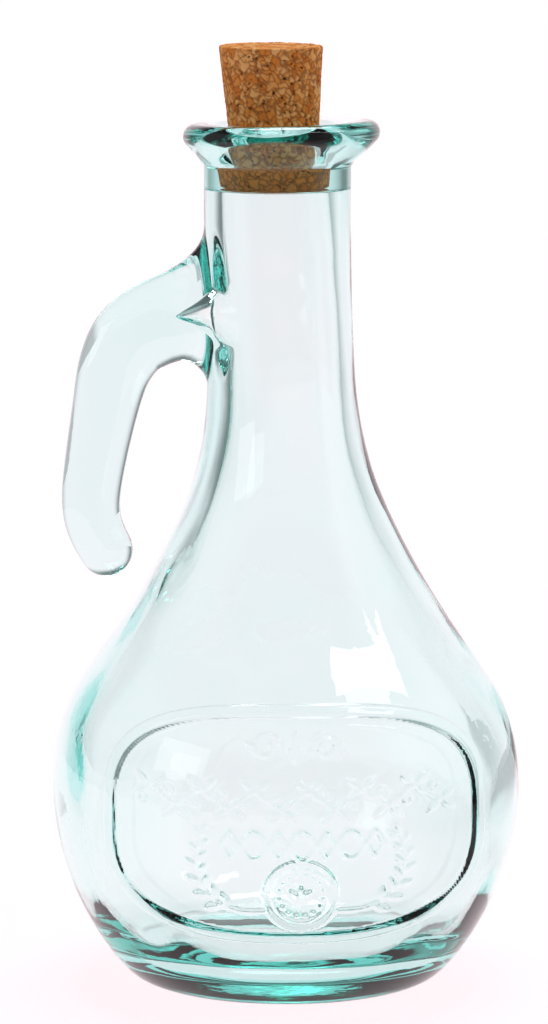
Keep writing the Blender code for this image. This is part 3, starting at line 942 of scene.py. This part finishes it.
def corkGrain(c, places):
    # Tone, gap, pit and depth at each place on the cork, and the number of granules
    dice = np.random.default_rng(c["seed"])
    wide = 2.0 * c["block"]
    count = int(c["packing"] * wide ** 2 * (c["top"] - c["bottom"]) / c["grain"] ** 3)
    low = (-c["block"], -c["block"], c["bottom"])
    high = (c["block"], c["block"], c["top"])
    cell = c["grain"] * c["cell"]
    seeds = dice.uniform(low, high, (count, 3))
    warp = c["warp"] * np.sin(places[:, [1, 2, 0]] * c["warpRates"] + c["warpStarts"])
    first, second, owner = nearestGrains(places + warp, seeds, cell)
    gap = 1.0 - ease(second - first, *c["gapWidth"])
    tone = dice.uniform(0.0, 1.0, count)[owner]
    sunk = dice.uniform(0.0, 1.0, count)[owner]
    pits = dice.uniform(low, high, (int(count * c["pitShare"]), 3))
    pitFirst, _, pitOwner = nearestGrains(places + warp * c["pitWarp"], pits, cell)
    size = dice.uniform(*c["pitSizes"], len(pits))[pitOwner]
    pit = 1.0 - ease(pitFirst, size * c["pitFloor"], size)
    depth = gap * c["gapDepth"] + pit * c["pitDepth"] + (sunk - c["sunkFrom"]) * c["sunkDepth"]
    return tone, gap, pit, depth, count


def makeCork(c, b):
    rows = spaced(corkOutline(c), lambda radius, height: (
        c["rowStep"] if radius > c["middleRadius"] else c["middleStep"]))
    slope = np.gradient(rows, axis=0)
    slope /= np.linalg.norm(slope, axis=1)[:, None]
    columns = np.linspace(0.0, 2.0 * math.pi, c["columns"], endpoint=False)
    places = np.vstack([turnedRing(radius, level, columns) for radius, level in rows[1:-1]])
    tone, gap, pit, depth, count = corkGrain(c, places)
    squeezed = np.repeat(rows[1:-1, 1] < c["gripTop"] + c["squeezedMargin"], len(columns))
    depth = np.where(squeezed, depth * c["squeezed"], depth)
    skin = Skin()
    pole = skin.ring([[0.0, 0.0, rows[0, 1]]])
    previous = None
    for k, (radius, level) in enumerate(rows[1:-1]):
        part = slice(k * len(columns), (k + 1) * len(columns))
        outR, outZ = -slope[k + 1][1], slope[k + 1][0]
        points = turnedRing(radius - depth[part] * outR, level, columns)
        points[:, 2] -= depth[part] * outZ
        ring = skin.ring(points)
        if previous is None:
            skin.fan(ring, pole[0], True)
        else:
            skin.strip(previous, ring)
        previous = ring
    foot = skin.ring([[0.0, 0.0, rows[-1, 1]]])
    skin.fan(previous[::-1], foot[0], True)
    skin.points = [tilted(p, c, b) for p in skin.points]
    mesh = skin.mesh("corkStopper")
    for name, values in (("grain", tone), ("gap", gap), ("pit", pit)):
        field = mesh.attributes.new(name, "FLOAT", "POINT")
        field.data.foreach_set("value", np.concatenate([[0.5], values, [0.5]]).astype(np.float32))
    obj = bpy.data.objects.new("corkStopper", mesh)
    bpy.context.collection.objects.link(obj)
    print("cork:", len(mesh.vertices), "points,", count, "grains")
    return obj


def tilted(points, c, b):
    # The cork follows the bore that holds it, and its cut top dips a little to the front
    x, y, z = points.T
    dip = y * math.tan(math.radians(c["topTilt"])) * ease(z, c["dipFrom"], c["top"])
    return np.stack([x + boreAxis(z, b), y, z + dip], 1)


corkLook = {
    "dark": (0.52, 0.14, 0.022, 1.0), "middle": (0.76, 0.26, 0.045, 1.0),
    "light": (0.88, 0.42, 0.13, 1.0), "pale": (0.85, 0.50, 0.22, 1.0),
    "middleAt": 0.30, "lightAt": 0.62,
    "grainShare": 0.62, "streakShare": 0.45, "blotchShare": 0.30, "darker": 0.24,
    "streakScale": 1500.0, "blotchScale": 420.0, "fineScale": 3800.0,
    "gap": (0.26, 0.075, 0.020, 1.0), "gapShare": 0.75, "pit": (0.040, 0.012, 0.005, 1.0),
    # Painted light: a stronger orange where the glass is in front of it, to make up for the light that the
    # glass's green tint takes out
    "paintedBehindGlass": (1.0, 0.27, 0.045, 1.0), "paintedBehindGlassShare": 0.7, "paintedBehindGlassFrom": 188.6 * mm, "paintedBehindGlassTo": 187.2 * mm,
    "bump": 0.6, "bumpDepth": 0.18 * mm, "bumpStreaks": 0.6, "bumpFine": 0.4,
    "roughness": (0.74, 0.92), "ior": 1.45, "specular": 0.15,
}


def corkMaterial(look):
    material, wire = newMaterial("pressedCork")
    place = wire.node("ShaderNodeTexCoord", output="Object")
    grain, gap, pit = (wire.node("ShaderNodeAttribute", {"attribute_name": name}, output="Fac")
                       for name in ("grain", "gap", "pit"))
    streaks = wire.node("ShaderNodeTexNoise", {}, {
        "Vector": place, "Scale": look["streakScale"], "Detail": 3.0, "Roughness": 0.6})
    blotch = wire.node("ShaderNodeTexNoise", {}, {
        "Vector": place, "Scale": look["blotchScale"], "Detail": 2.0, "Roughness": 0.5})
    fine = wire.node("ShaderNodeTexNoise", {}, {
        "Vector": place, "Scale": look["fineScale"], "Detail": 2.0, "Roughness": 0.6})
    tone = (grain * look["grainShare"] + streaks * look["streakShare"] + blotch * look["blotchShare"]
            - look["darker"])
    stops = [(0.0, look["dark"]), (look["middleAt"], look["middle"]),
             (look["lightAt"], look["light"]), (1.0, look["pale"])]
    colour = wire.node("ShaderNodeValToRGB", {"stops": stops}, {"Fac": tone})
    height = wire.node("ShaderNodeSeparateXYZ", {}, {"Vector": place}, "Z")
    # painted light: the part of the cork in the bore is painted a stronger orange, to make up for the
    # glass's green tint in front of it
    paintedBehindGlass = height.limited(look["paintedBehindGlassFrom"], look["paintedBehindGlassTo"], 0.0, look["paintedBehindGlassShare"])
    colour = paintedBehindGlass.mixed(colour, look["paintedBehindGlass"])
    colour = (gap * look["gapShare"]).mixed(colour, look["gap"])
    colour = pit.mixed(colour, look["pit"])
    bump = wire.node("ShaderNodeBump", {}, {
        "Strength": look["bump"], "Distance": look["bumpDepth"],
        "Height": streaks * look["bumpStreaks"] + fine * look["bumpFine"]})
    shader = wire.node("ShaderNodeBsdfPrincipled", {}, {
        "Base Color": colour, "Roughness": streaks.limited(0.3, 0.8, *look["roughness"]),
        "IOR": look["ior"], "Specular IOR Level": look["specular"], "Normal": bump})
    wire.node("ShaderNodeOutputMaterial", {}, {"Surface": shader})
    return material


stopper = makeCork(cork, bottle)
stopper.data.materials.append(corkMaterial(corkLook))
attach(stopper, "root")
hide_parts("cork")
print("cork finished")


# A bright backdrop behind a round pale table, a grey room and three softboxes
studio = {
    "floorRadius": 0.55, "floorSides": 96, "floorDrop": 0.2 * mm,
    "floorColour": (0.17, 0.16, 0.163, 1.0), "floorRoughness": 0.9, "floorSpecular": 0.2,
    "floorGlow": 0.85, "floorLight": (1.16, 1.0, 1.04, 1.0), "black": (0.0, 0.0, 0.0, 1.0),
    "shadeFrom": 0.12, "shadeTo": 0.18, "shade": 0.55,    # the table's right side lies in shade
    # A little red against the green of the glass in front of it
    "backdrop": (1.17, 1.0, 1.045, 1.0), "backdropTop": (0.62, 0.36),
    "backdropLeft": (26.0, 56.0), "backdropRight": (26.0, 64.0),    # degrees
    "sideFrom": 0.86, "sideTo": 0.93,
    "sideLeft": (0.50, 0.52, 0.525, 1.0), "sideRight": (0.85, 0.87, 0.875, 1.0),
    "roomLeft": (0.20, 0.21, 0.215, 1.0), "roomRight": (0.48, 0.49, 0.495, 1.0), "roomBlend": 0.2,
    "roomFront": (0.26, 0.265, 0.27, 1.0), "frontFrom": -0.3, "frontTo": -0.8,
    "ceiling": (0.12, 0.125, 0.13, 1.0), "ceilingFrom": (0.5, 0.8),
    "aim": (0.0, 0.0, 0.09),
    "softboxes": [
        {"at": (0.05, 0.45, 1.55), "size": (0.90, 0.60), "watts": 14.0, "roll": 0.0},
        {"at": (-0.98, -0.72, 0.44), "size": (0.55, 0.44), "watts": 1.1, "roll": 0.0},
        {"at": (0.787, -0.324, 1.085), "size": (0.85, 0.14), "watts": 1.8, "roll": -27.0},
    ],
    # Light goes far inside thick glass, so its paths may be long
    "bounces": 32, "glossyBounces": 10,
}


def makeFloor(s):
    mesh = bpy.data.meshes.new("floor")
    sides = s["floorSides"]
    angles = np.linspace(0.0, 2.0 * math.pi, sides, endpoint=False)
    rim = turnedRing(s["floorRadius"], 0.0, angles)
    mesh.from_pydata(rim.tolist(), [], [list(range(sides))])
    floor = bpy.data.objects.new("floor", mesh)
    floor.location.z = -s["floorDrop"]
    bpy.context.collection.objects.link(floor)
    material, wire = newMaterial("paleFloor")
    place = wire.node("ShaderNodeTexCoord", output="Object")
    x = wire.node("ShaderNodeSeparateXYZ", {}, {"Vector": place}, "X")
    shade = x.limited(s["shadeFrom"], s["shadeTo"], 1.0, s["shade"])
    shader = wire.node("ShaderNodeBsdfPrincipled", {}, {
        "Base Color": shade.mixed(s["black"], s["floorColour"]),
        "Roughness": s["floorRoughness"], "Specular IOR Level": s["floorSpecular"],
        "Emission Color": shade.mixed(s["black"], s["floorLight"]), "Emission Strength": s["floorGlow"]})
    wire.node("ShaderNodeOutputMaterial", {}, {"Surface": shader})
    mesh.materials.append(material)


def makeRoom(s):
    world = bpy.data.worlds.new("studio")
    world.use_nodes = True
    world.node_tree.nodes.clear()
    wire = Wire(world.node_tree)
    heading = wire.node("ShaderNodeTexCoord", output="Generated")
    x, y, z = (wire.node("ShaderNodeSeparateXYZ", {}, {"Vector": heading}, axis) for axis in "XYZ")
    level = (x * x + y * y + 0.000001) ** -0.5
    ahead = y * level
    across = x * level
    room = x.limited(-s["roomBlend"], s["roomBlend"]).mixed(s["roomLeft"], s["roomRight"])
    room = across.limited(s["sideFrom"], s["sideTo"]).mixed(room, s["sideRight"])
    room = across.limited(-s["sideFrom"], -s["sideTo"]).mixed(room, s["sideLeft"])
    room = ahead.limited(s["frontFrom"], s["frontTo"]).mixed(room, s["roomFront"])
    (nearLeft, farLeft), (nearRight, farRight) = (
        [math.cos(math.radians(a)) for a in s[side]] for side in ("backdropLeft", "backdropRight"))
    toRight = x.limited(-0.05, 0.05)
    lit = ahead.limited(farLeft, nearLeft) * (1.0 - toRight) + ahead.limited(farRight, nearRight) * toRight
    colour = (lit * z.limited(*s["backdropTop"])).mixed(room, s["backdrop"])
    colour = z.limited(*s["ceilingFrom"]).mixed(colour, s["ceiling"])
    sky = wire.node("ShaderNodeBackground", {}, {"Color": colour, "Strength": 1.0})
    wire.node("ShaderNodeOutputWorld", {}, {"Surface": sky})
    bpy.context.scene.world = world


def makeSoftboxes(s):
    for k, box in enumerate(s["softboxes"]):
        data = bpy.data.lights.new("softbox%d" % k, "AREA")
        data.shape = "RECTANGLE"
        data.size, data.size_y = box["size"]
        data.energy = box["watts"]
        light = bpy.data.objects.new("softbox%d" % k, data)
        light.location = box["at"]
        aim = Vector(s["aim"]) - light.location
        turn = Matrix.Rotation(math.radians(box["roll"]), 4, "Z")
        facing = aim.to_track_quat("-Z", "Y").to_matrix().to_4x4()
        light.matrix_world = Matrix.Translation(light.location) @ facing @ turn
        bpy.context.collection.objects.link(light)


makeFloor(studio)
makeRoom(studio)
makeSoftboxes(studio)
bpy.context.scene.cycles.max_bounces = studio["bounces"]
bpy.context.scene.cycles.transmission_bounces = studio["bounces"]
bpy.context.scene.cycles.glossy_bounces = studio["glossyBounces"]
bpy.context.scene.view_settings.view_transform = "Standard"
print("studio made")
